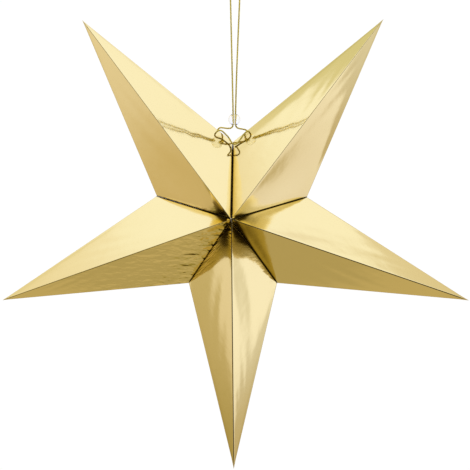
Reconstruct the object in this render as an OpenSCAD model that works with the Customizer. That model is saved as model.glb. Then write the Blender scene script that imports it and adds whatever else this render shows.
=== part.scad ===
// A hanging five-pointed paper star. Each point is folded from one piece of thin foil card
// into a hollow four-sided spike, and the five are glued to each other by their flaps.
// The seam at the top is left loose, so the star folds flat like a book, and a thin cord
// through the two points beside it, with a bead to draw it tight, holds it open and hangs it.
// Millimetres, +Z up, front towards -Y. The origin is where a hook bears in the cord's loop.

/* [Star] */
// Distance from the star's middle to the tip of a point
point_reach = 240; // [150:1:330]
// Distance from the star's middle to a corner between two points
corner_reach = 75; // [50:1:110]
// Thickness of the open star at its middle, front to back
star_depth = 162; // [100:1:220]
// Thickness of the foil card
card = 0.35; // [0.25:0.05:0.8]
// Width of the open slit between the two loose flaps at the top
seam_gap = 1.3; // [0.6:0.1:4]
// Turn of the loose seam to the left of straight up, in degrees
seam_turn = 0.7; // [-2:0.1:2]

/* [Flaps] */
// Width of the flaps that join neighbouring points
flap_w = 12; // [6:1:20]
// Length of a flap's slanted end, along the fold
flap_slant = 14; // [10:1:20]
// Distance of a flap's end from the corner that it points to
flap_end = 3; // [2:0.5:8]
// Width of the strip that closes a point along its back ridge
strip_w = 10; // [5:1:16]
// Distance of the strip's ends from the ends of the ridge
strip_end = 12; // [6:1:30]

/* [Cord holes] */
// Diameter of the holes that the cord passes through
hole_d = 3; // [2.4:0.1:4.5]
// Distance of a hole from the corner at the top seam, along the edge fold
hole_along = 18; // [12:0.5:30]
// Distance of a hole from the edge fold, as the star's front is seen
hole_inset = 3; // [2.4:0.1:6]

/* [Cord and bead] */
// Diameter of the twisted cord
cord_d = 1.6; // [1:0.1:1.8]
// Diameter of the clear bead
bead_d = 11.5; // [8:0.5:16]
// Diameter of the hole through the bead
bead_hole_d = 4.4; // [4:0.1:5.5]
// Height of the flare at each mouth of the bead's hole
bead_flare = 1; // [0.4:0.1:1.2]
// Diameter of the knot that joins the cord's two ends
knot_d = 4.4; // [4:0.1:6]
// Length of the knot
knot_l = 4; // [2:0.5:8]

/* [Hanging place] */
// Drop from the loop's top to the star's middle
hang_drop = 230; // [200:1:260]
// How far the star's middle hangs to the left of the loop's top
hang_left = 1.3; // [-5:0.1:5]

/* [Hidden] */

n_points = 5;
step = 360 / n_points;
foil = [0.93, 0.79, 0.47];
cord_gold = [0.72, 0.58, 0.3];
clear_plastic = [0.9, 0.93, 0.92, 0.45];
past = 1.15;        // how far a cutting pyramid runs past the piece that it cuts
lap = 0.6;          // how far a plate runs past the face that trims it
round_faces = 48;
cord_sides = 8;
rings_per_span = 2; // rings of the cord's tube for each stretch between two points of its route
bead_at = [-0.7, -3, -133.4];

// The star was put together by hand, so its points and corners stand a little off the even
// fifths. Turns are in degrees, to the left of straight up as the front is seen.
tip_turn_off = [1.2, 1.1, 0, -0.9, -0.7];
tip_reach_off = [2.5, -3, 0, -1, 1];
corner_turn_off = [seam_turn, 0.7, 0.4, -1.5, -0.6, seam_turn];
corner_reach_off = [0, 3, 0, -1, -1, 0];

middle = [-hang_left, 0, -hang_drop];
front = middle - [0, star_depth / 2, 0];
back = middle + [0, star_depth / 2, 0];

// The cord's route: from the knot out of the right front hole, slack across the notch, round
// the left edge fold through both its holes, up through the bead, over the loop's top, down
// through the bead and round the right edge fold to the knot. The cord rounds these points off.
route = [
    [16, -1, -149.2], [14.9, -1.2, -147.9], [13.6, -3, -146.1], [13.6, -5.1, -145],
    [11.9, -7.3, -144.6], [9.2, -8.9, -146.7], [3.9, -7.5, -154.9], [1.2, -7.6, -157.4],
    [-1.8, -6.2, -157.3], [-3.8, -5.1, -154.9], [-5.8, -4.4, -150.6], [-9.6, -4.1, -147.1],
    [-12.3, -6.2, -144.3], [-14.8, -6.6, -143.7], [-17.3, -6.2, -144.6], [-18.8, -4, -146.8],
    [-18.2, 4.3, -146.7], [-18.1, 6.7, -144.4], [-16.8, 7.1, -142.1], [-15.1, 5.8, -140.3],
    [-11.6, 3.1, -140.9], [-6, 0.1, -142], [-1.75, -2.7, -140.9], [-1.7, -3, -134],
    [-2.8, -2, -85], [-4.5, -0.3, -16], [-4.9, 0, -1.5], [0, 0, 1.95],
    [4.9, 0, -1.5], [4.5, -0.3, -16], [1.5, -2, -85], [0.3, -3.1, -134],
    [0.4, -2.9, -140.9], [4.1, -0.8, -142.1], [8.2, 4.5, -142.3], [11, 6.1, -143.1],
    [13.3, 5.5, -145], [14.3, 2.5, -146.7], [15, 1.7, -147.8], [16, 1, -149.2]
];

// A smooth line that starts and ends at a route's ends and rounds off the points between them.
function rounded(p) =
    let (last = len(p) - 1, q = concat([2 * p[0] - p[1]], p, [2 * p[last] - p[last - 1]]))
    concat(
        [
            for (j = [1:last], s = [0:rings_per_span - 1])
                let (u = s / rings_per_span, v = 1 - u)
                (pow(v, 3) * q[j - 1] + (4 - 6 * u * u + 3 * pow(u, 3)) * q[j]
                + (4 - 6 * v * v + 3 * pow(v, 3)) * q[j + 1] + pow(u, 3) * q[j + 2]) / 6
        ],
        [p[last]]
    );

function unit(v) = v / norm(v);
function place(turn, reach) = middle + reach * [-sin(turn), 0, cos(turn)];
function tip(i) = place(step * (i + 0.5) + tip_turn_off[i], point_reach + tip_reach_off[i]);
function corner_turn(k) = step * k + corner_turn_off[k];
function corner(k) = place(corner_turn(k), corner_reach + corner_reach_off[k]);

// The outward normals of the two front panels of a point, on the side of its corner k and k + 1.
function front_normal(t, k, side) =
    unit(side == 0 ? cross(front - t, corner(k) - t) : cross(corner(k + 1) - t, front - t));

// The shift that moves all four panels of a point inwards by a thickness.
function inward_shift(t, i, thickness) =
    let (a = front_normal(t, i, 0), b = front_normal(t, i, 1), d = a.x * b.z - a.z * b.x)
    -thickness / d * [b.z - a.z, 0, a.x - b.x];

// The foot of a cord hole: a place beside the edge fold from corner k to the tip t.
function hole_at(t, k) =
    let (g = unit(t - corner(k)), out = [-g.z, 0, g.x], turned = out * (corner(k) - middle))
    corner(k) + g * hole_along - out * sign(turned) * hole_inset;

// A four-sided pyramid from a point's tip to its two corners and the star's front and back.
module pyramid(i, shift, reach) {
    t = tip(i) + shift;
    far = [for (p = [front, corner(i), back, corner(i + 1)]) t + reach * (p - tip(i))];
    polyhedron(
        points = concat([t], far),
        faces = [[0, 2, 1], [0, 1, 4], [0, 3, 2], [0, 4, 3], [1, 2, 3], [1, 3, 4]]
    );
}

// A flat plate: four corners in order, thickened along a direction.
module plate(outline, thickening) {
    flip = thickening * cross(outline[1] - outline[0], outline[2] - outline[1]) < 0;
    base = flip ? [for (j = [3:-1:0]) outline[j]] : outline;
    polyhedron(
        points = concat(base, [for (p = base) p + thickening]),
        faces = [[0, 1, 2, 3], [7, 6, 5, 4], [0, 4, 5, 1], [1, 5, 6, 2], [2, 6, 7, 3], [3, 7, 4, 0]]
    );
}

// One glue flap of point i: it folds in along the line from an end of the axis to corner k,
// and lies in the plane through that line and the axis. The loose ones keep clear of the seam.
// The plate runs a little past the wall and that plane, and the point's outer form trims it.
module flap(i, k, end) {
    edge = unit(corner(k) - end);
    inwards = unit((middle - end) - ((middle - end) * edge) * edge);
    into_point = (k == i ? 1 : -1) * [-cos(corner_turn(k)), 0, -sin(corner_turn(k))];
    clear = (k == 0 || k == n_points) ? seam_gap / 2 : 0;
    outline = [
        end + flap_end * edge - lap * inwards,
        corner(k) - flap_end * edge - lap * inwards,
        corner(k) - (flap_end + flap_slant) * edge + flap_w * inwards,
        end + (flap_end + flap_slant) * edge + flap_w * inwards
    ];
    plate([for (p = outline) p + (clear - lap) * into_point], (card + lap) * into_point);
}

// The strip that closes a point: glued inside one back panel, along the back ridge.
module closing_strip(i) {
    t = tip(i) + inward_shift(tip(i), i, card);
    ridge = back - tip(i);
    along = unit(ridge);
    n = front_normal(tip(i), i, 0);
    inner = -[n.x, -n.y, n.z];
    side = corner(i) - tip(i);
    across = unit(side - (side * along) * along);
    start = t + strip_end * along;
    stop = t + ridge - strip_end * along;
    outline = [
        start - lap * across,
        stop - lap * across,
        stop + strip_w * (across - along),
        start + strip_w * (across + along)
    ];
    plate([for (p = outline) p - card / 2 * inner], 1.5 * card * inner);
}

// The slit of the loose seam, from the star's axis out past its corner.
module seam_slit() {
    translate(middle)
        rotate([0, -seam_turn, 0])
            translate([-seam_gap / 2, -star_depth, -seam_gap])
                cube([seam_gap, 2 * star_depth, corner_reach + 4 * seam_gap]);
}

module cord_hole(i, k) {
    translate(hole_at(tip(i), k))
        rotate([90, 0, 0])
            cylinder(h = star_depth, d = hole_d, center = true, $fn = round_faces);
}

// One point of the star: its outer form less its hollow, and the hollow leaves out the flaps
// and the strip. holed is the corner that its cord holes are beside, or -1 for none.
module star_point(i, holed = -1) {
    color(foil)
        difference() {
            pyramid(i, [0, 0, 0], 1);
            difference() {
                pyramid(i, inward_shift(tip(i), i, card), past);
                for (k = [i, i + 1], end = [front, back]) flap(i, k, end);
                closing_strip(i);
            }
            if (holed >= 0) {
                seam_slit();
                cord_hole(i, holed);
            }
        }
}

module point_upper_left() {
    star_point(0, holed = 0);
}

module point_left() {
    star_point(1);
}

module point_bottom() {
    star_point(2);
}

module point_right() {
    star_point(3);
}

module point_upper_right() {
    star_point(4, holed = n_points);
}

// A direction across the line that stays steady along the route, one for each of its points.
function line_dir(p, j) = unit(p[min(j + 1, len(p) - 1)] - p[max(j - 1, 0)]);
function squared(v, dir) = unit(v - (v * dir) * dir);
function steady_sides(p, first) = [
    for (j = 0, v = squared(first, line_dir(p, 0)); j < len(p);
         j = j + 1, v = j < len(p) ? squared(v, line_dir(p, j)) : v) v
];

module tube(p, d, first) {
    sides = steady_sides(p, first);
    rings = [
        for (j = [0:len(p) - 1], s = [0:cord_sides - 1])
            let (a = 360 * s / cord_sides)
            p[j] + d / 2 * (cos(a) * sides[j] + sin(a) * cross(line_dir(p, j), sides[j]))
    ];
    walls = [
        for (j = [0:len(p) - 2], s = [0:cord_sides - 1])
            let (a = j * cord_sides + s, b = j * cord_sides + (s + 1) % cord_sides)
            each [[a, a + cord_sides, b], [b, a + cord_sides, b + cord_sides]]
    ];
    last = (len(p) - 1) * cord_sides;
    ends = [[for (s = [0:cord_sides - 1]) s], [for (s = [cord_sides - 1:-1:0]) last + s]];
    polyhedron(points = rings, faces = concat(walls, ends));
}

module hanging_cord() {
    color(cord_gold)
        tube(rounded(route), cord_d, [0, 0, 1]);
}

// The knot sits where both ends of the cord meet, inside the upper right point.
module cord_knot() {
    face = (route[0] + route[len(route) - 1]) / 2;
    run = route[0] + route[len(route) - 1] - route[1] - route[len(route) - 2];
    lean = atan2(run.x, run.z);
    color(cord_gold)
        translate(face)
            rotate([0, lean, 0])
                cylinder(h = knot_l, d = knot_d, $fn = round_faces);
}

module cord_bead() {
    mouth = sqrt(pow(bead_d / 2, 2) - pow(bead_hole_d / 2, 2));
    color(clear_plastic)
        translate(bead_at)
            difference() {
                sphere(d = bead_d, $fn = round_faces);
                cylinder(h = bead_d, d = bead_hole_d, center = true, $fn = round_faces);
                for (end = [0, 180])
                    rotate([end, 0, 0])
                        translate([0, 0, mouth - bead_flare])
                            cylinder(
                                h = 2 * bead_flare,
                                d1 = bead_hole_d,
                                d2 = bead_hole_d + 4 * bead_flare,
                                $fn = round_faces
                            );
            }
}

point_upper_left();
point_left();
point_bottom();
point_right();
point_upper_right();
hanging_cord();
cord_knot();
cord_bead();
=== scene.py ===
# A hanging five-pointed paper star of gold foil card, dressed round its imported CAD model.
# Metres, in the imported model's frame: +Z up, front towards -Y, origin where a hook bears.
import math

import bmesh
import bpy
import numpy as np
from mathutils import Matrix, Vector


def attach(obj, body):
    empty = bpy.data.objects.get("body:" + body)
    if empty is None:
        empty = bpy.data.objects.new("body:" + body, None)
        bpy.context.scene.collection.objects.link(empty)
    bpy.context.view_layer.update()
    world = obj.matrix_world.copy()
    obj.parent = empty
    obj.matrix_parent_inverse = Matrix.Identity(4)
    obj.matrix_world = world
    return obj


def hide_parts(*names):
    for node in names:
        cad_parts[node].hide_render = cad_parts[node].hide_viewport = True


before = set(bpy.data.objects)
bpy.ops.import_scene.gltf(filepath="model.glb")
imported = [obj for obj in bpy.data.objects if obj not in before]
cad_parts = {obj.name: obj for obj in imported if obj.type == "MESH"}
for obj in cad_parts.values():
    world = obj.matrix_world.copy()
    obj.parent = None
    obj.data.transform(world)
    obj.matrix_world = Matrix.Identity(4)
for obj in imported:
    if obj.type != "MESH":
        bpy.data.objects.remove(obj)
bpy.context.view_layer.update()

# Sizes of the star, as in the part's source
MM = 0.001
MIDDLE = np.array([-1.3, 0, -230]) * MM
STAR_DEPTH = 162 * MM
POINT_REACH = 240 * MM
CORNER_REACH = 75 * MM
CARD = 0.35 * MM
SEAM_GAP = 1.3 * MM
SEAM_TURN = 0.7
FLAP_W = 12 * MM
FLAP_SLANT = 14 * MM
FLAP_END = 3 * MM
HOLE_D = 3 * MM
HOLE_ALONG = 18 * MM
HOLE_INSET = 3 * MM
# How far the tips and corners are off a regular star's, in degrees and mm
TIP_TURN_OFF = [1.2, 1.1, 0, -0.9, -0.7]
TIP_REACH_OFF = [2.5, -3, 0, -1, 1]
CORNER_TURN_OFF = [SEAM_TURN, 0.7, 0.4, -1.5, -0.6, SEAM_TURN]
CORNER_REACH_OFF = [0, 3, 0, -1, -1, 0]
POINT_NAMES = ["upper_left", "left", "bottom", "right", "upper_right"]
LOOSE = (0, 5)            # the corner where the first and last points aren't glued, by either number
BEAD_D = 11.5 * MM
BEAD_HOLE_D = 4.4 * MM
BEAD_FLARE = 1 * MM
BEAD_AT = np.array([-0.7, -3, -133.4]) * MM
KNOT_D = 4.4 * MM
KNOT_L = 4 * MM
# The cord's route in mm: from the knot by the front, through the bead and its loop, and back to the knot
ROUTE = [
    [16, -1, -149.2], [14.9, -1.2, -147.9], [13.6, -3, -146.1], [13.6, -5.1, -145],
    [11.9, -7.3, -144.6], [9.2, -8.9, -146.7], [3.9, -7.5, -154.9], [1.2, -7.6, -157.4],
    [-1.8, -6.2, -157.3], [-3.8, -5.1, -154.9], [-5.8, -4.4, -150.6], [-9.6, -4.1, -147.1],
    [-12.3, -6.2, -144.3], [-14.8, -6.6, -143.7], [-17.3, -6.2, -144.6], [-18.8, -4, -146.8],
    [-18.2, 4.3, -146.7], [-18.1, 6.7, -144.4], [-16.8, 7.1, -142.1], [-15.1, 5.8, -140.3],
    [-11.6, 3.1, -140.9], [-6, 0.1, -142], [-1.75, -2.7, -140.9], [-1.7, -3, -134],
    [-2.8, -2, -85], [-4.5, -0.3, -16], [-4.9, 0, -1.5], [0, 0, 1.95],
    [4.9, 0, -1.5], [4.5, -0.3, -16], [1.5, -2, -85], [0.3, -3.1, -134],
    [0.4, -2.9, -140.9], [4.1, -0.8, -142.1], [8.2, 4.5, -142.3], [11, 6.1, -143.1],
    [13.3, 5.5, -145], [14.3, 2.5, -146.7], [15, 1.7, -147.8], [16, 1, -149.2],
]

FRONT = MIDDLE - np.array([0, STAR_DEPTH / 2, 0])
BACK = MIDDLE + np.array([0, STAR_DEPTH / 2, 0])


# Small helpers
def unit(v):
    v = np.asarray(v, float)
    return v / np.linalg.norm(v, axis=-1, keepdims=True)


def place(turn, reach):
    a = math.radians(turn)
    return MIDDLE + reach * np.array([-math.sin(a), 0, math.cos(a)])


def tip(i):
    return place(72 * (i + 0.5) + TIP_TURN_OFF[i], POINT_REACH + TIP_REACH_OFF[i] * MM)


def corner_turn(k):
    return 72 * k + CORNER_TURN_OFF[k]


def corner(k):
    return place(corner_turn(k), CORNER_REACH + CORNER_REACH_OFF[k] * MM)


def new_object(name, vertices, faces, materials, smooth_angle=None):
    mesh = bpy.data.meshes.new(name)
    mesh.from_pydata([tuple(map(float, v)) for v in vertices], [], [tuple(f) for f in faces])
    for m in materials:
        mesh.materials.append(m)
    mesh.validate()
    mesh.update()
    obj = bpy.data.objects.new(name, mesh)
    bpy.context.scene.collection.objects.link(obj)
    if smooth_angle is not None:
        mesh.shade_smooth()
        mesh.set_sharp_from_angle(angle=math.radians(smooth_angle))
    return obj


def node(tree, kind, **sockets):
    n = tree.nodes.new(kind)
    for key, value in sockets.items():
        if key in n.inputs:
            n.inputs[key].default_value = value
        else:
            setattr(n, key, value)
    return n


def new_material(name):
    m = bpy.data.materials.new(name)
    m.use_nodes = True
    return m, m.node_tree, m.node_tree.nodes["Principled BSDF"]


# Camera: square to the star's front, a little to the right, as in the photograph
AIM = np.array([-0.14, 0, -244.5]) * MM
CAMERA_AWAY = 1.8
CAMERA_TURN = math.radians(1.6)
LENS_MM = 143

camera = bpy.data.objects.new("camera", bpy.data.cameras.new("camera"))
bpy.context.scene.collection.objects.link(camera)
camera.data.sensor_width = 36
camera.data.lens = LENS_MM
camera.data.clip_start = 0.05
camera.data.clip_end = 60
out_front = Vector((math.sin(CAMERA_TURN), -math.cos(CAMERA_TURN), 0))
camera.location = Vector(AIM) + CAMERA_AWAY * out_front
camera.rotation_euler = (-out_front).to_track_quat("-Z", "Y").to_euler()
bpy.context.scene.camera = camera
bpy.context.scene.view_settings.view_transform = "Standard"


# Materials
def times(tree, a, b):
    n = node(tree, "ShaderNodeMath", operation="MULTIPLY")
    tree.links.new(a, n.inputs[0])
    if isinstance(b, float):
        n.inputs[1].default_value = b
    else:
        tree.links.new(b, n.inputs[1])
    return n.outputs["Value"]


def grain(tree, scale, detail, roughness=0.5):
    """A noise in the object's own space."""
    coord = node(tree, "ShaderNodeTexCoord")
    noise = node(tree, "ShaderNodeTexNoise", Scale=scale, Detail=detail, Roughness=roughness)
    tree.links.new(coord.outputs["Object"], noise.inputs["Vector"])
    return noise.outputs["Fac"]


def mottled(tree, noise, a, b):
    """A colour between a and b by a noise."""
    tint = node(tree, "ShaderNodeMix", data_type="RGBA")
    tint.inputs["A"].default_value = (*a, 1)
    tint.inputs["B"].default_value = (*b, 1)
    tree.links.new(noise, tint.inputs["Factor"])
    return tint.outputs["Result"]


def roughen(tree, shader, height, strength, distance):
    bump = node(tree, "ShaderNodeBump", Strength=strength, Distance=distance)
    tree.links.new(height, bump.inputs["Height"])
    tree.links.new(bump.outputs["Normal"], shader.inputs["Normal"])


def foil_material():
    m, tree, shader = new_material("gold_foil")
    link = tree.links.new
    shader.inputs["Metallic"].default_value = 1.0
    shader.inputs["Specular Tint"].default_value = (1, 0.93, 0.55, 1)
    # Faint unevenness of the metal's tint
    tint = mottled(tree, grain(tree, 22.0, 4.0, 0.6), (0.92, 0.74, 0.26), (0.905, 0.725, 0.245))
    # Painted shade: the foil's colour is darkened along its creases, where the folds would lie in shade; it
    # is rougher there too
    crease_shade = node(tree, "ShaderNodeAttribute", attribute_name="crease_shade")
    crease_shade_mix = node(tree, "ShaderNodeMix", data_type="RGBA")
    crease_shade_mix.inputs["B"].default_value = (0.05, 0.035, 0.01, 1)
    link(crease_shade.outputs["Fac"], crease_shade_mix.inputs["Factor"])
    link(tint, crease_shade_mix.inputs["A"])
    link(crease_shade_mix.outputs["Result"], shader.inputs["Base Color"])
    # Roughness: bright foil with faint clouding
    rough = node(tree, "ShaderNodeMapRange")
    rough.inputs["To Min"].default_value = 0.045
    rough.inputs["To Max"].default_value = 0.085
    link(grain(tree, 35.0, 3.0), rough.inputs["Value"])
    rougher = node(tree, "ShaderNodeMath", operation="MULTIPLY_ADD")
    link(crease_shade.outputs["Fac"], rougher.inputs[0])
    rougher.inputs[1].default_value = 0.35
    link(rough.outputs["Result"], rougher.inputs[2])
    link(rougher.outputs["Value"], shader.inputs["Roughness"])
    # Unevenness of the card under the foil, and glue ripples beside some of the valleys
    coord = node(tree, "ShaderNodeTexCoord")
    stretch = node(tree, "ShaderNodeMapping", vector_type="TEXTURE")
    stretch.inputs["Scale"].default_value = (0.011, 0.011, 0.0042)
    link(coord.outputs["Object"], stretch.inputs["Vector"])
    wave = node(tree, "ShaderNodeTexNoise", Scale=1.0, Detail=2.0, Roughness=0.45)
    link(stretch.outputs["Vector"], wave.inputs["Vector"])
    amount = node(tree, "ShaderNodeAttribute", attribute_name="ripple")
    height = node(tree, "ShaderNodeMath", operation="ADD")
    link(times(tree, grain(tree, 60.0, 2.0), 0.12), height.inputs[0])
    link(times(tree, wave.outputs["Fac"], amount.outputs["Fac"]), height.inputs[1])
    roughen(tree, shader, height.outputs["Value"], 1.0, 0.0004)
    return m


def card_material():
    m, tree, shader = new_material("card_inside")
    fibre = grain(tree, 900.0, 4.0)
    tint = mottled(tree, fibre, (0.62, 0.6, 0.55), (0.72, 0.7, 0.65))
    tree.links.new(tint, shader.inputs["Base Color"])
    shader.inputs["Roughness"].default_value = 0.85
    roughen(tree, shader, fibre, 0.2, 0.00005)
    return m


# Painted shade: a dark brown in place of the foil on the flaps' outer faces, deep in the crevices between
# the points
def crevice_shade_material():
    m, tree, shader = new_material("flap_crevice_shade")
    tint = mottled(tree, grain(tree, 120.0, 3.0), (0.09, 0.06, 0.015), (0.14, 0.095, 0.025))
    tree.links.new(tint, shader.inputs["Base Color"])
    shader.inputs["Roughness"].default_value = 0.7
    return m


def cord_material():
    m, tree, shader = new_material("gold_thread")
    shader.inputs["Metallic"].default_value = 0.3
    shader.inputs["Roughness"].default_value = 0.35
    # Random tone along the thread's fibres; its bright end is painted glints
    tone_and_glint = grain(tree, 1400.0, 3.0, 0.7)
    tint = node(tree, "ShaderNodeValToRGB")
    tint.color_ramp.elements[0].position = 0.36
    tint.color_ramp.elements[0].color = (0.6, 0.47, 0.05, 1)
    tint.color_ramp.elements[1].position = 0.62
    tint.color_ramp.elements[1].color = (0.95, 0.8, 0.17, 1)
    tree.links.new(tone_and_glint, tint.inputs["Fac"])
    tree.links.new(tint.outputs["Color"], shader.inputs["Base Color"])
    roughen(tree, shader, tone_and_glint, 0.5, 0.0001)
    return m


def bead_material():
    m, tree, shader = new_material("clear_acrylic")
    shader.inputs["Transmission Weight"].default_value = 1.0
    shader.inputs["IOR"].default_value = 1.49
    shader.inputs["Roughness"].default_value = 0.02
    tint = mottled(tree, grain(tree, 300.0, 2.0), (0.97, 0.97, 0.93), (0.94, 0.94, 0.89))
    tree.links.new(tint, shader.inputs["Base Color"])
    return m


FOIL = foil_material()
CARD_BACK = card_material()
CREVICE_SHADE = crevice_shade_material()
THREAD = cord_material()
ACRYLIC = bead_material()


# The cord: three twisted plies along the route, smoothed as in the part's source
RINGS_PER_SPAN = 12
PLIES = 3
PLY_R = 0.44 * MM
PLY_OFF = 0.4 * MM
PLY_PITCH = 4.6 * MM
PLY_SIDES = 8
PLY_STEP = 0.45 * MM


def rounded(points, steps):
    p = np.array(points, float) * MM
    q = np.vstack([2 * p[0] - p[1], p, 2 * p[-1] - p[-2]])
    line = []
    for j in range(1, len(p)):
        for s in range(steps):
            u = s / steps
            v = 1 - u
            line.append((
                v ** 3 * q[j - 1] + (4 - 6 * u * u + 3 * u ** 3) * q[j]
                + (4 - 6 * v * v + 3 * v ** 3) * q[j + 1] + u ** 3 * q[j + 2]
            ) / 6)
    line.append(p[-1])
    return np.array(line)


def evenly(line, step):
    along = np.concatenate([[0], np.cumsum(np.linalg.norm(np.diff(line, axis=0), axis=1))])
    at = np.linspace(0, along[-1], int(along[-1] / step) + 1)
    return np.stack([np.interp(at, along, line[:, k]) for k in range(3)], axis=1), at


def steady_frames(line, first):
    run = unit(np.gradient(line, axis=0))
    side = np.zeros_like(line)
    v = np.array(first, float)
    for j, d in enumerate(run):
        v = unit(v - (v @ d) * d)
        side[j] = v
    return run, side, np.cross(run, side)


def tube_faces(rings, sides, start):
    faces = []
    for j in range(rings - 1):
        for s in range(sides):
            a = start + j * sides + s
            b = start + j * sides + (s + 1) % sides
            faces.append((a, b, b + sides, a + sides))
    faces.append([start + s for s in range(sides)][::-1])
    faces.append([start + (rings - 1) * sides + s for s in range(sides)])
    return faces


def ring_faces(rings, sides):
    """The faces of a closed ring of closed rings."""
    faces = []
    for j in range(rings):
        here, after = j * sides, (j + 1) % rings * sides
        for s in range(sides):
            ahead = (s + 1) % sides
            faces.append((here + s, after + s, after + ahead, here + ahead))
    return faces


def twisted_cord():
    line, at = evenly(rounded(ROUTE, RINGS_PER_SPAN), PLY_STEP)
    run, side, up = steady_frames(line, (0, 0, 1))
    vertices, faces = [], []
    for ply in range(PLIES):
        turn = 2 * math.pi * (at / PLY_PITCH + ply / PLIES)
        off = np.cos(turn)[:, None] * side + np.sin(turn)[:, None] * up
        round_off = -np.sin(turn)[:, None] * side + np.cos(turn)[:, None] * up
        centre = line + PLY_OFF * off
        start = len(vertices)
        for j in range(len(line)):
            for s in range(PLY_SIDES):
                a = 2 * math.pi * s / PLY_SIDES
                vertices.append(centre[j] + PLY_R * (math.cos(a) * off[j] + math.sin(a) * round_off[j]))
        faces += tube_faces(len(line), PLY_SIDES, start)
    cord = new_object("hanging_cord_plies", vertices, faces, [THREAD], 60)
    return cord, line


cord, cord_line = twisted_cord()
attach(cord, "root")
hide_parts("hanging_cord")


# The knot: the cord's two ends tied together, inside the upper right point
KNOT_RINGS = 96
KNOT_SIDES = 10
STRAND_R = 0.72 * MM


def knot_piece():
    first, last = (np.array(ROUTE[j], float) * MM for j in (0, -1))
    face = (first + last) / 2
    lean = unit(first + last - (np.array(ROUTE[1], float) + np.array(ROUTE[-2], float)) * MM)
    across = unit(np.cross(lean, (0, 1, 0)))
    other = np.cross(lean, across)
    middle = face + lean * KNOT_L / 2
    t = np.linspace(0, 2 * math.pi, KNOT_RINGS, endpoint=False)
    wide = KNOT_D / 2 - STRAND_R
    tall = KNOT_L / 2 - STRAND_R
    path = (
        middle
        + np.outer((np.sin(t) + 2 * np.sin(2 * t)) / 3 * wide, across)
        + np.outer((np.cos(t) - 2 * np.cos(2 * t)) / 3 * wide, other)
        + np.outer(-np.sin(3 * t) * tall, lean)
    )
    run = unit(np.roll(path, -1, 0) - np.roll(path, 1, 0))
    side = unit(np.cross(run, path - middle + 1e-5 * lean))
    up = np.cross(run, side)
    vertices = [
        path[j] + STRAND_R * (math.cos(a) * side[j] + math.sin(a) * up[j])
        for j in range(KNOT_RINGS) for a in 2 * math.pi * np.arange(KNOT_SIDES) / KNOT_SIDES
    ]
    faces = ring_faces(KNOT_RINGS, KNOT_SIDES)
    return new_object("cord_knot_turns", vertices, faces, [THREAD], 60)


knot = knot_piece()
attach(knot, "root")
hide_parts("cord_knot")


# The bead: a turned clear ball with a flared bore
BEAD_TURNS = 96
BALL_STEPS = 40
FLARE_STEPS = 8
BORE_STEPS = 12


def bead_piece():
    radius, bore = BEAD_D / 2, BEAD_HOLE_D / 2
    mouth = math.sqrt(radius ** 2 - bore ** 2)
    flare_r = bore + BEAD_FLARE * 0.75
    flare_z = math.sqrt(radius ** 2 - flare_r ** 2)
    flare_l = flare_z - mouth + BEAD_FLARE
    start = math.asin(flare_z / radius)
    ball = [(radius * math.cos(a), radius * math.sin(a)) for a in np.linspace(-start, start, BALL_STEPS)]
    flare = []
    for u in np.linspace(0, 1, FLARE_STEPS + 1)[1:]:
        a = u * math.pi / 2
        flare.append((flare_r + (bore - flare_r) * math.sin(a), flare_z - flare_l * (1 - math.cos(a))))
    low = [(r, -z) for r, z in flare][::-1]
    inside = [(bore, z) for z in np.linspace(flare[-1][1], -flare[-1][1], BORE_STEPS)[1:-1]]
    profile = ball + flare + inside + low
    vertices = []
    for j in range(BEAD_TURNS):
        a = 2 * math.pi * j / BEAD_TURNS
        for r, z in profile:
            vertices.append(BEAD_AT + np.array([r * math.cos(a), r * math.sin(a), z]))
    faces = ring_faces(BEAD_TURNS, len(profile))
    return new_object("cord_bead_clear", vertices, faces, [ACRYLIC], 50)


bead = bead_piece()
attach(bead, "root")
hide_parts("cord_bead")

# The points: each one folded sheet, with rounded folds, flaps and uneven panels
FOLDS = [0.6, 0.7, 1.25, 1.15, 0.6]         # how far each point's folds round into its panels, in mm
FOLD_NARROW = 0.22        # they take at most this share of a panel's width
SHOULDER = 0.5 * MM       # a narrow band beside each fold, which keeps the flat panels' shading even
SHOULDER_NARROW = 0.1     # it takes at most this share of a panel's width
RIDGE_BOW = [0.2, 0.9, 1.2, 1.3, 1.6]       # how far each point's ridges stand out at their fullest, in mm
TUCKS = [0.6, 0.85, 0.8, 0.8, 0.85, 0.6]    # how far the folds round into each valley, in mm
TUCK_NARROW = 0.6         # they take at most this share of a flap's width
RIDGE_SHADE = [0.6, 0.75, 1, 1, 0.6]            # how much shade is painted along each point's ridges, and how much rougher the foil is there
VALLEY_SHADE = [0.3, 0.85, 0.2, 0.8, 0.8, 0.3]    # and along the valleys
CREASE_EDGE = 5           # how sharply that begins at a fold's edges
FOLD_STEPS = 8
PANEL_COLUMNS = 26
STATIONS = 64
STATION_SPREAD = 1.15     # they lie closer together near the tip
NEAR_TIP = [0.004, 0.008]                   # the first ones, as shares of the way to the mouth
NEAR_MOUTH = [9, 6.5, 4.6, 3.2, 2.2, 1.4, 0.7, 0]   # the last ones, in mm from the fold at the mouth
STATION_ROOM = 0.005      # the even ones end this share before them
MOUTH_STEPS = 8
FLAP_ROWS = 4
SEAM_CLOSED = 0.45 * MM   # how far each side of the open seam closes at its outer end
SEAM_TAPER = 12 * MM      # over which length it does so
TOUCH = 0.04 * MM         # neighbouring flaps stay this far from the plane where they meet
LIP = 0.25 * MM           # the least that turns in behind a mouth's fold, also where no flap is
THIN_TIP = 0.16           # the card is at most this share of a narrow place's width
TINY = 1e-14              # a face smaller than this, in square metres, has no direction
MERGE = 0.0015 * MM       # vertices closer than this are one
SHARP_ANGLE = 38

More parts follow.
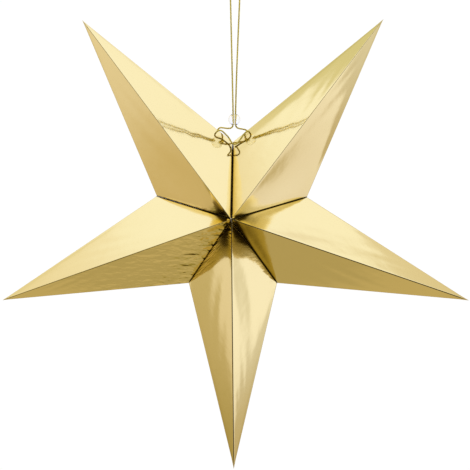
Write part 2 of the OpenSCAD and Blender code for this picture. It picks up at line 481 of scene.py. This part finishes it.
# Each front panel, by point and panel: its bow and the bow beside its edge fold, how far it leans
# outwards beside its valley in degrees, how deep it dips at its valley near the middle, how far out
# along the valley and away from it that reaches, and its glue ripples with their reach, lengths in
# mm. The back panels take the same.
PANELS = {
    (0, 0): (0.2, 0.1, 0, 0.2, 12, 2.6, 0.05, 4),
    (0, 3): (0.1, 0.05, 1.0, 3.4, 19, 6.0, 0.25, 5),
    (1, 0): (0.4, 0.1, 0.3, 1.8, 16, 4.5, 0.05, 5),
    (1, 3): (0.1, 0.05, 1.2, 0.3, 12, 2.6, 2.4, 32),
    (2, 0): (0.5, 0.2, 0, 3.6, 20, 7.0, 0.1, 6),
    (2, 3): (0.6, 0.3, 2.2, 3.2, 31, 3.8, 0.35, 6),
    (3, 0): (0.1, 0.05, 0, 0.4, 20, 2.6, 0.05, 5),
    (3, 3): (0.2, 0.1, 1.4, 1.4, 18, 4.0, 0.15, 5),
    (4, 0): (0.4, 0.4, 2.4, 0.9, 14, 3.0, 0.05, 5),
    (4, 3): (0.4, 0.5, 0, 0.2, 12, 2.6, 0.05, 4),
}
EDGE_BOW_AT = 0.15        # the bow beside the edge fold is fullest at this share of the width
WAVES = 5                 # every panel has this many slight waves
WAVE_HEIGHT = 0.012       # in mm
UNEVEN_UNTIL = 0.35       # bows and waves fade out over this share of the way before the mouth
PANEL_LONG = 190          # a panel's rough length, in mm
LEAN_REACH = 45           # how far out from the valley a panel's lean reaches, in mm
VALLEY_DIP = 0.2          # how deep a panel dips all along its valley, in mm
VALLEY_FADE = 2.2         # how quickly that dip fades out from the valley, in mm
DIP_START = 3             # over which length by the middle the dips begin, in mm
DIP_END = 12              # and over which length by the corner they end


class Outline:
    """The four-sided outline of a point at a share of the way from its tip to its mouth."""

    def __init__(self, i):
        self.i = i
        self.t = tip(i)
        self.v = np.array([FRONT, corner(i), BACK, corner(i + 1)])
        self.side = [unit(self.v[(j + 1) % 4] - self.v[j]) for j in range(4)]
        self.length = [np.linalg.norm(self.v[(j + 1) % 4] - self.v[j]) for j in range(4)]
        # Columns: (panel, kind, value); folds at the corners, then the panel between them
        self.columns = []
        for j in range(4):
            for m in range(FOLD_STEPS + 1):
                self.columns.append((j, "fold", m / FOLD_STEPS))
            self.columns.append((j, "near", 0.0))
            for m in range(1, PANEL_COLUMNS):
                self.columns.append((j, "panel", m / PANEL_COLUMNS))
            self.columns.append((j, "near", 1.0))

    def corner_by(self, j):
        """The corner of the star beside panel j."""
        return self.i + (0 if j in (0, 1) else 1)

    def tip_from_plane(self, k):
        a = math.radians(corner_turn(k))
        return abs(float((self.t - MIDDLE) @ np.array([math.cos(a), 0, math.sin(a)])))

    def mouth_share(self, j):
        """How far from the tip panel j ends, short of the plane where it meets the next point's."""
        k = self.corner_by(j)
        gap = SEAM_GAP / 2 if k in LOOSE else TOUCH
        return 1 - gap / self.tip_from_plane(k)

    def line(self, j, s):
        # The bow's 6.75 makes it one at its fullest, a third of the way
        bow = RIDGE_BOW[self.i] * MM * 6.75 * s * (1 - s) ** 2 * (-1, 0, 1, 0)[j]
        return self.t + s * (self.v[j] - self.t) + np.array([0, bow, 0])

    def at(self, column, s):
        j, kind, value = column
        here = self.line(j, s)
        ahead = self.line((j + 1) % 4, s)
        shortest = s * min(self.length)
        reach = min(FOLDS[self.i] * MM, FOLD_NARROW * shortest)
        band = min(SHOULDER, SHOULDER_NARROW * shortest)
        if kind == "fold":
            a = here - reach * self.side[j - 1]
            c = here + reach * self.side[j]
            u = value
            return (1 - u) ** 2 * a + 2 * u * (1 - u) * here + u * u * c
        begin = here + (reach + band) * self.side[j]
        end = ahead - (reach + band) * self.side[j]
        return begin + value * (end - begin)


def mouth_share_of(outline, column):
    j, kind, value = column
    if kind == "fold":
        before, after = outline.mouth_share(j - 1 if j else 3), outline.mouth_share(j)
        return before + (after - before) * value
    return outline.mouth_share(j)


def panel_normal(outline, j):
    n = unit(np.cross(outline.v[j] - outline.t, outline.v[(j + 1) % 4] - outline.t))
    centre = (outline.t + outline.v[j] + outline.v[(j + 1) % 4]) / 3
    return n if n @ (centre - (outline.t + MIDDLE) / 2) > 0 else -n


def panel_shape(i, j):
    return PANELS[(i, 0 if j in (0, 1) else 3)]


def panel_push(i, j, f, s):
    """How far a place on a panel stands out from its flat plane, in metres."""
    bow, edge_bow, lean_out = panel_shape(i, j)[:3]
    # g runs from the ridge, 0, to the edge fold, 1
    g = f if j in (0, 2) else 1 - f
    from_edge = (1 - g) / EDGE_BOW_AT
    push = bow * s * 4 * g * (1 - g) + edge_bow * s * from_edge * math.exp(1 - from_edge)
    rng = np.random.default_rng(100 * i + j)
    for _ in range(WAVES):
        a, b = rng.uniform(1, 3), rng.uniform(2, 6)
        wave = math.sin(2 * math.pi * (a * g + b * s) + rng.uniform(0, 6))
        push += WAVE_HEIGHT * s * math.sin(math.pi * g) * wave
    push *= math.sin(math.pi / 2 * min(1.0, (1 - s) / UNEVEN_UNTIL))
    # Beside the valley the panel leans outwards, and is back in its plane further out
    away = (1 - s) * PANEL_LONG
    push -= math.radians(lean_out) * away * math.exp(-((away / LEAN_REACH) ** 2)) * math.sin(math.pi * g)
    return push * MM


def valley_dips(i, j, x, long):
    """How deep a mouth's line lies below the flat one near the middle, and all along it."""
    deep, reach = panel_shape(i, j)[3:5]
    x, long = x / MM, long / MM
    ends = (1 - math.exp(-x / DIP_START)) * min(1.0, max(0.0, (long - x) / DIP_END)) * MM
    return deep * math.exp(-((x / reach) ** 2)) * ends, VALLEY_DIP * ends


class Mouth:
    """A point's open end at each column: its line, its flap, its dips, ripples and the painted shade of its
    creases.
    """

    def __init__(self, outline):
        i = outline.i
        columns = outline.columns
        n = len(columns)
        corners = [outline.corner_by(column[0]) for column in columns]
        self.share = np.array([mouth_share_of(outline, column) for column in columns])
        self.line = np.array([outline.at(column, at) for column, at in zip(columns, self.share)])
        self.tall = np.array([outline.tip_from_plane(k) for k in corners])
        self.tucks = np.array([TUCKS[k] * MM for k in corners])
        self.crease_shade = np.array([VALLEY_SHADE[k] for k in corners])
        self.flap_dir = np.zeros((n, 3))
        self.width = np.zeros(n)
        self.dips = np.zeros((n, 2))
        self.fades = np.zeros((n, 2))
        self.ripple = np.zeros((n, 2))
        self.lean = np.zeros((n, 3))
        self.closing = np.zeros((n, 3))
        for c, (j, kind, value) in enumerate(columns):
            k = corners[c]
            end = FRONT if j in (0, 3) else BACK
            edge = unit(corner(k) - end)
            long = np.linalg.norm(corner(k) - end)
            x = float((self.line[c] - end) @ edge)
            self.flap_dir[c] = unit((MIDDLE - end) - ((MIDDLE - end) @ edge) * edge)
            if kind != "fold":
                slant = min(x - FLAP_END, long - x - FLAP_END) / FLAP_SLANT
                self.width[c] = FLAP_W * max(0.0, min(1.0, slant))
            self.dips[c] = valley_dips(i, j, max(0.0, x), long)
            self.fades[c] = panel_shape(i, j)[5] * MM, VALLEY_FADE * MM
            self.ripple[c] = panel_shape(i, j)[6:8]
            if k in LOOSE:
                # The loose flaps lean towards each other, so that no light shows through the seam
                a = math.radians(corner_turn(k))
                towards = np.array([math.cos(a), 0, math.sin(a)]) * (1 if k == 0 else -1)
                closed = SEAM_CLOSED * max(0.0, 1 - (long - x) / SEAM_TAPER)
                self.closing[c] = towards * closed
                self.lean[c] = towards * (SEAM_GAP / 2 - TOUCH - closed)
        self.dip = self.dips.sum(1)


def stations_to_mouth():
    """Shares of the way from tip to mouth, closer together near both."""
    line = np.linspace(0, 1, STATIONS + 1)[1:]
    close = 1 - np.array(NEAR_MOUTH) * MM / POINT_REACH
    spread = line ** STATION_SPREAD
    return np.concatenate([NEAR_TIP, spread[spread < close[0] - STATION_ROOM], close])


def outer_rows(outline, mouth, stations):
    """The foil side's places by row and column, from the tip over the mouth's fold to the flap's end."""
    i = outline.i
    columns = outline.columns
    normals = [panel_normal(outline, j) for j in range(4)]
    start = mouth.share - mouth.tucks / mouth.tall
    rows = []
    from_mouth = []
    for s in stations:
        row = []
        far_off = []
        for c, column in enumerate(columns):
            j, kind, value = column
            p = outline.at(column, s * start[c])
            if kind != "fold":
                p = p + panel_push(i, j, value, s) * normals[j]
            away = (mouth.share[c] - s * start[c]) * mouth.tall[c]
            p = p + (mouth.dips[c] @ np.exp(-away / mouth.fades[c])) * mouth.flap_dir[c]
            p = p + mouth.closing[c] * math.exp(-away / SEAM_TAPER)
            row.append(p)
            far_off.append(away)
        rows.append(row)
        from_mouth.append(far_off)
    line = mouth.line + mouth.closing
    last = np.array(rows[-1])
    sunk = line + mouth.dip[:, None] * mouth.flap_dir
    tuck = np.minimum(mouth.tucks, TUCK_NARROW * mouth.width)
    far = sunk + tuck[:, None] * mouth.flap_dir
    for m in range(1, MOUTH_STEPS + 1):
        u = m / MOUTH_STEPS
        rows.append((1 - u) ** 2 * last + 2 * u * (1 - u) * sunk + u * u * far)
        from_mouth.append([0.0] * len(columns))
    deepest = np.maximum(mouth.width, mouth.dip + tuck + LIP)
    for m in range(1, FLAP_ROWS + 1):
        share_in = m / FLAP_ROWS
        reach = mouth.dip + tuck + (deepest - mouth.dip - tuck) * share_in
        leaning = share_in * np.minimum(1, 4 * mouth.width / FLAP_W)
        rows.append(line + reach[:, None] * mouth.flap_dir + leaning[:, None] * mouth.lean)
        from_mouth.append([0.0] * len(columns))
    return np.array([np.array(r) for r in rows]), np.array(from_mouth)


def outer_normals(flat, quads, n):
    """Normals of the outer layer, from the faces round each vertex, and whether the faces point inwards."""
    q = np.array(quads)
    face_n = np.cross(flat[q[:, 2]] - flat[q[:, 0]], flat[q[:, 3]] - flat[q[:, 1]])
    size = np.linalg.norm(face_n, axis=1, keepdims=True)
    face_n = np.where(size > TINY, face_n / np.maximum(size, TINY), 0)
    normal = np.zeros_like(flat)
    for s in range(4):
        np.add.at(normal, q[:, s], face_n)
    normal /= np.maximum(np.linalg.norm(normal, axis=1, keepdims=True), 1e-9)
    by_tip = slice(0, n * 20)
    centre = flat[by_tip].mean(0)
    turned = np.sign(((flat[by_tip] - centre) * normal[by_tip]).sum())
    return normal * turned, turned < 0


def crease_shades(outline, mouth, n_stations, n_rows):
    """How much shade is painted into the foil at each place, and how much rougher it is: along the ridges,
    and round the mouth's fold.
    """
    ridge = np.zeros(len(outline.columns))
    for c, (j, kind, value) in enumerate(outline.columns):
        if kind == "fold" and j in (0, 2):
            ridge[c] = RIDGE_SHADE[outline.i] * min(1.0, CREASE_EDGE * min(value, 1 - value))
    round_mouth = np.zeros(n_rows)
    round_mouth[n_stations + 1:] = 1
    return np.maximum(np.tile(ridge, n_rows), np.outer(round_mouth, mouth.crease_shade).ravel())


def star_point(i):
    outline = Outline(i)
    mouth = Mouth(outline)
    stations = stations_to_mouth()
    outer, from_mouth = outer_rows(outline, mouth, stations)
    n_rows, n = outer.shape[:2]
    quads = []
    for r in range(n_rows - 1):
        for c in range(n):
            d = (c + 1) % n
            quads.append((r * n + c, r * n + d, (r + 1) * n + d, (r + 1) * n + c))
    flat = outer.reshape(-1, 3)
    normal, flip = outer_normals(flat, quads, n)
    # The inner layer, thinner where the point is too narrow for the card
    station_share = np.concatenate([stations, np.ones(n_rows - len(stations))])
    thick = np.minimum(CARD, THIN_TIP * station_share * min(outline.length))
    inner = flat - normal * np.repeat(thick, n)[:, None]
    count = len(flat)
    inner_tip = outline.t + (outer[0].mean(0) - outline.t) * 0.8
    vertices = np.vstack([flat, inner, [outline.t], [inner_tip]])
    out_tip, in_tip = 2 * count, 2 * count + 1
    faces, kinds = [], []

    def add(face, kind):
        faces.append(tuple(face[::-1]) if flip else tuple(face))
        kinds.append(kind)

    # The flaps' outer faces take the painted crevice shade
    flap_starts = (n_rows - 1 - FLAP_ROWS) * n
    for a, b, c, d in quads:
        add((a, b, c, d), 2 if a >= flap_starts else 0)
        add((count + d, count + c, count + b, count + a), 1)
    for c in range(n):
        d = (c + 1) % n
        add((out_tip, d, c), 0)
        add((in_tip, count + c, count + d), 1)
        a, b = (n_rows - 1) * n + c, (n_rows - 1) * n + d
        add((b, a, count + a, count + b), 1)
    obj = new_object("point_" + POINT_NAMES[i] + "_sheet", vertices, faces, [FOIL, CARD_BACK, CREVICE_SHADE])
    for polygon, kind in zip(obj.data.polygons, kinds):
        polygon.material_index = kind
    every = np.tile(mouth.ripple, (n_rows, 1))
    ripple = every[:, 0] * np.exp(-from_mouth.ravel() / (every[:, 1] * MM))
    add_attribute(obj, "ripple", [ripple, ripple, [0, 0]])
    # Painted shade along the ridges and valleys, kept for the foil's colour and roughness
    crease_shade = crease_shades(outline, mouth, len(stations), n_rows)
    add_attribute(obj, "crease_shade", [crease_shade, crease_shade, [RIDGE_SHADE[i], 0]])
    tidy_mesh(obj)
    return obj


def add_attribute(obj, name, values):
    attribute = obj.data.attributes.new(name, "FLOAT", "POINT")
    attribute.data.foreach_set("value", np.concatenate(values))


def tidy_mesh(obj):
    bm = bmesh.new()
    bm.from_mesh(obj.data)
    bmesh.ops.remove_doubles(bm, verts=bm.verts, dist=MERGE)
    bmesh.ops.dissolve_degenerate(bm, edges=bm.edges, dist=0.000001)
    bmesh.ops.recalc_face_normals(bm, faces=bm.faces)
    bm.to_mesh(obj.data)
    bm.free()


HOLE_SIDES = 40


def cut_holes(obj, i, k):
    """The cord's holes beside corner k, through the front and the back of point i."""
    t = tip(i)
    g = unit(t - corner(k))
    out = np.array([-g[2], 0, g[0]])
    turned = math.copysign(1, float(out @ (corner(k) - MIDDLE)))
    foot = corner(k) + g * HOLE_ALONG - out * turned * HOLE_INSET
    sides = HOLE_SIDES
    vertices = []
    for y in (-STAR_DEPTH / 2, STAR_DEPTH / 2):
        for s in range(sides):
            a = 2 * math.pi * s / sides
            vertices.append(foot + np.array([HOLE_D / 2 * math.cos(a), y, HOLE_D / 2 * math.sin(a)]))
    faces = [(s, (s + 1) % sides, sides + (s + 1) % sides, sides + s) for s in range(sides)]
    faces.append(list(range(sides))[::-1])
    faces.append(list(range(sides, 2 * sides)))
    cutter = new_object("hole_cutter", vertices, faces, [CARD_BACK])
    cut = obj.modifiers.new("cord_holes", "BOOLEAN")
    cut.operation = "DIFFERENCE"
    cut.solver = "EXACT"
    cut.object = cutter
    deps = bpy.context.evaluated_depsgraph_get()
    made = bpy.data.meshes.new_from_object(obj.evaluated_get(deps))
    obj.modifiers.clear()
    obj.data = made
    bpy.data.objects.remove(cutter)


for i, name in enumerate(POINT_NAMES):
    sheet = star_point(i)
    if i in (0, 4):
        cut_holes(sheet, i, 0 if i == 0 else 5)
    sheet.data.shade_smooth()
    sheet.data.set_sharp_from_angle(angle=math.radians(SHARP_ANGLE))
    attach(sheet, "root")
    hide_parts("point_" + name)


# Surroundings: a bright studio that the foil mirrors, white behind the star
def ramp(tree, value, low, high, stops):
    """A colour ramp over low to high of a value."""
    share = node(tree, "ShaderNodeMapRange")
    share.inputs["From Min"].default_value = low
    share.inputs["From Max"].default_value = high
    tree.links.new(value, share.inputs["Value"])
    n = node(tree, "ShaderNodeValToRGB")
    tree.links.new(share.outputs["Result"], n.inputs["Fac"])
    elements = n.color_ramp.elements
    for m, (at, colour) in enumerate(stops):
        place_at = (at - low) / (high - low)
        e = elements[m] if m < 2 else elements.new(place_at)
        e.position = place_at
        e.color = (*colour, 1)
    return n.outputs["Color"]


def blend(tree, value, low, high, a, b):
    """From a to b as a value rises from low to high; each of them a colour or a socket."""
    share = node(tree, "ShaderNodeMapRange", interpolation_type="SMOOTHSTEP")
    share.inputs["From Min"].default_value = low
    share.inputs["From Max"].default_value = high
    tree.links.new(value, share.inputs["Value"])
    n = node(tree, "ShaderNodeMix", data_type="RGBA")
    tree.links.new(share.outputs["Result"], n.inputs["Factor"])
    for key, colour in (("A", a), ("B", b)):
        if isinstance(colour, tuple):
            n.inputs[key].default_value = colour
        else:
            tree.links.new(colour, n.inputs[key])
    return n.outputs["Result"]


# The room's colours by the turn round the star's axis in degrees, in three bands: nearest to the
# star's own plane, next to it, and further off. The first two stops of every list are its ends.
NEAR_RING = [
    (-180, (0.4, 0.35, 0.17)),
    (180, (0.45, 0.42, 0.3)),
    (-140, (0.33, 0.3, 0.25)),
    (-112, (0.3, 0.28, 0.3)),
    (-107, (0.68, 0.7, 1.0)),
    (-40, (0.75, 0.76, 1.0)),
    (-30, (0.8, 0.8, 1.0)),
    (34.5, (0.8, 0.78, 0.9)),
    (38, (0.85, 0.76, 0.38)),
    (90, (0.3, 0.27, 0.25)),
    (109, (0.16, 0.13, 0.09)),
    (113, (0.36, 0.32, 0.2)),
    (140, (0.33, 0.3, 0.2)),
]
RING = [
    (-180, (0.47, 0.417, 0.342)),
    (180, (0.47, 0.417, 0.342)),
    (-165, (0.46, 0.407, 0.324)),
    (-140, (0.6, 0.567, 0.684)),
    (-113, (0.86, 0.856, 1.37)),
    (-110, (0.92, 0.94, 1.58)),
    (-107, (1.04, 1.11, 1.94)),
    (-90, (1.08, 1.156, 1.94)),
    (-38, (1.06, 1.14, 1.9)),
    (-30, (1.06, 1.16, 2.0)),
    (33, (1.06, 1.13, 1.9)),
    (37.5, (1.07, 1.18, 2.02)),
    (39.5, (0.97, 1.0, 1.5)),
    (42, (0.92, 0.92, 1.28)),
    (70, (0.9, 0.89, 1.26)),
    (104, (0.86, 0.84, 1.17)),
    (107, (0.81, 0.77, 1.03)),
    (109.5, (0.66, 0.57, 0.55)),
    (113, (0.62, 0.535, 0.5)),
    (140, (0.53, 0.46, 0.4)),
]
FAR_RING = [
    (-180, (0.57, 0.5, 0.43)),
    (180, (0.57, 0.5, 0.43)),
    (-140, (0.55, 0.5, 0.5)),
    (-110, (0.58, 0.53, 0.6)),
    (-107, (0.74, 0.76, 1.2)),
    (-100, (0.9, 0.95, 1.5)),
    (-60, (0.9, 0.95, 1.5)),
    (-38, (0.79, 0.77, 1.02)),
    (-35, (0.83, 0.83, 1.15)),
    (-28, (0.97, 1.02, 1.8)),
    (20, (0.9, 0.95, 1.4)),
    (33, (0.72, 0.76, 0.85)),
    (41, (0.87, 0.87, 1.14)),
    (70, (0.7, 0.66, 0.7)),
    (100, (0.62, 0.57, 0.56)),
    (107, (0.57, 0.51, 0.49)),
    (110, (0.44, 0.38, 0.26)),
    (140, (0.44, 0.38, 0.26)),
]
# How bright the room is from in front of the star, -1, to behind it, 1, for what a facet mirrors
# and for what its neighbour mirrors again
DEPTH_STOPS = [
    (-1, (0.3, 0.28, 0.22)),
    (1, (0.6, 0.56, 0.48)),
    (-0.95, (0.5, 0.48, 0.42)),
    (-0.85, (0.85, 0.84, 0.8)),
    (-0.3, (0.95, 0.95, 0.95)),
    (-0.12, (0.7, 0.68, 0.62)),
    (0, (0.22, 0.18, 0.11)),
    (0.12, (0.22, 0.18, 0.11)),
    (0.18, (0.42, 0.38, 0.26)),
    (0.235, (1, 1, 1)),
    (0.45, (1, 1, 1)),
    (0.65, (0.7, 0.66, 0.58)),
]
AGAIN_STOPS = [
    (-1, (0.03, 0.025, 0.015)),
    (1, (0.5, 0.46, 0.38)),
    (-0.5, (0.03, 0.025, 0.015)),
    (-0.4, (0.8, 0.8, 0.76)),
    (-0.26, (0.8, 0.8, 0.76)),
    (-0.2, (0.015, 0.012, 0.007)),
    (0.1, (0.02, 0.016, 0.008)),
    (0.19, (0.08, 0.066, 0.035)),
    (0.235, (1, 1, 1)),
    (0.45, (1, 1, 1)),
    (0.65, (0.6, 0.56, 0.48)),
]
NEAR_BAND = (0.25, 0.285)     # where the first band of colours passes into the second
FAR_BAND = (0.372, 0.395)     # and the second into the third
WHITE = (1.02, 1.02, 1.02, 1)
BEHIND_BEAD = (1.05, 1.1, 1.7, 1)
DULL_FRONT = (0.15, 0.15, 0.15, 1)
DULL_BEHIND = (2.0, 2.0, 2.0, 1)


def studio_world():
    world = bpy.data.worlds.new("studio")
    bpy.context.scene.world = world
    world.use_nodes = True
    tree = world.node_tree
    link = tree.links.new
    background = tree.nodes["Background"]
    coord = node(tree, "ShaderNodeTexCoord")
    parts = node(tree, "ShaderNodeSeparateXYZ")
    link(coord.outputs["Generated"], parts.inputs["Vector"])
    # Turn round the star's axis in degrees: 0 is up, 90 left, -90 right
    turn = node(tree, "ShaderNodeMath", operation="ARCTAN2")
    link(times(tree, parts.outputs["X"], -1.0), turn.inputs[0])
    link(parts.outputs["Z"], turn.inputs[1])
    degrees = times(tree, turn.outputs["Value"], 180 / math.pi)
    near, middle, far = (ramp(tree, degrees, -180, 180, stops) for stops in (NEAR_RING, RING, FAR_RING))
    # The bands of colour are alike in front of the star and behind it
    off = node(tree, "ShaderNodeMath", operation="ABSOLUTE")
    link(parts.outputs["Y"], off.inputs[0])
    middle = blend(tree, off.outputs["Value"], *NEAR_BAND, near, middle)
    lit = blend(tree, off.outputs["Value"], *FAR_BAND, middle, far)
    dark = node(tree, "ShaderNodeMix", data_type="RGBA", blend_type="MULTIPLY")
    dark.inputs["Factor"].default_value = 1.0
    link(lit, dark.inputs["A"])
    # What one facet mirrors is bright all round, but what is mirrored again is dim in front
    path = node(tree, "ShaderNodeLightPath")
    again = node(tree, "ShaderNodeMath", operation="GREATER_THAN")
    link(path.outputs["Glossy Depth"], again.inputs[0])
    again.inputs[1].default_value = 1.5
    once, twice = (ramp(tree, parts.outputs["Y"], -1, 1, stops) for stops in (DEPTH_STOPS, AGAIN_STOPS))
    link(blend(tree, again.outputs["Value"], 0, 1, once, twice), dark.inputs["B"])
    # Only light mirrored by a surface shows the room, not what comes through the clear bead
    clear = node(tree, "ShaderNodeMath", operation="LESS_THAN")
    link(path.outputs["Transmission Depth"], clear.inputs[0])
    clear.inputs[1].default_value = 0.5
    mirrored = times(tree, path.outputs["Is Glossy Ray"], clear.outputs["Value"])
    # Dull surfaces get less light from the camera's side
    dull = blend(tree, parts.outputs["Y"], -0.3, 0.4, DULL_FRONT, DULL_BEHIND)
    through = blend(tree, path.outputs["Glossy Depth"], 0, 1, WHITE, BEHIND_BEAD)
    open_view = blend(tree, path.outputs["Is Diffuse Ray"], 0, 1, through, dull)
    seen = blend(tree, mirrored, 0, 1, open_view, dark.outputs["Result"])
    link(seen, background.inputs["Color"])
    background.inputs["Strength"].default_value = 1.0


studio_world()


def area_light(name, at, aim, size, watts):
    data = bpy.data.lights.new(name, "AREA")
    data.size = size
    data.energy = watts
    light = bpy.data.objects.new(name, data)
    bpy.context.scene.collection.objects.link(light)
    light.location = at
    light.rotation_euler = (Vector(aim) - Vector(at)).to_track_quat("-Z", "Y").to_euler()
    light.visible_camera = False
    light.visible_glossy = False
    light.visible_transmission = False


area_light("key", at=(-0.6, -1.6, 1.0), aim=(0, 0, -0.2), size=1.2, watts=7)
area_light("fill", at=(0.9, -1.2, -0.1), aim=(0, 0, -0.2), size=1.0, watts=2.5)
area_light("top", at=(0.0, 0.2, 1.6), aim=(0, 0, -0.9), size=1.6, watts=30)


# A plain pale floor well below the star, fading out at its rim
FLOOR_Z = -0.9
FLOOR_R = 3.0
FLOOR_SIDES = 96
FLOOR_FADE = (1.2, 2.9)


def pale_floor():
    m, tree, shader = new_material("pale_floor")
    link = tree.links.new
    tint = mottled(tree, grain(tree, 6.0, 4.0), (0.83, 0.83, 0.82), (0.86, 0.86, 0.85))
    link(tint, shader.inputs["Base Color"])
    shader.inputs["Roughness"].default_value = 0.9
    coord = node(tree, "ShaderNodeTexCoord")
    length = node(tree, "ShaderNodeVectorMath", operation="LENGTH")
    link(coord.outputs["Object"], length.inputs[0])
    fade = node(tree, "ShaderNodeMapRange", interpolation_type="SMOOTHSTEP")
    fade.inputs["From Min"].default_value = FLOOR_FADE[0]
    fade.inputs["From Max"].default_value = FLOOR_FADE[1]
    fade.inputs["To Min"].default_value = 1.0
    fade.inputs["To Max"].default_value = 0.0
    link(length.outputs["Value"], fade.inputs["Value"])
    link(fade.outputs["Result"], shader.inputs["Alpha"])
    turns = [2 * math.pi * s / FLOOR_SIDES for s in range(FLOOR_SIDES)]
    vertices = [(FLOOR_R * math.cos(a), FLOOR_R * math.sin(a), 0) for a in turns]
    floor = new_object("floor", vertices, [list(range(FLOOR_SIDES))], [m])
    floor.location = (0, 0, FLOOR_Z)
    floor.visible_glossy = False


pale_floor()
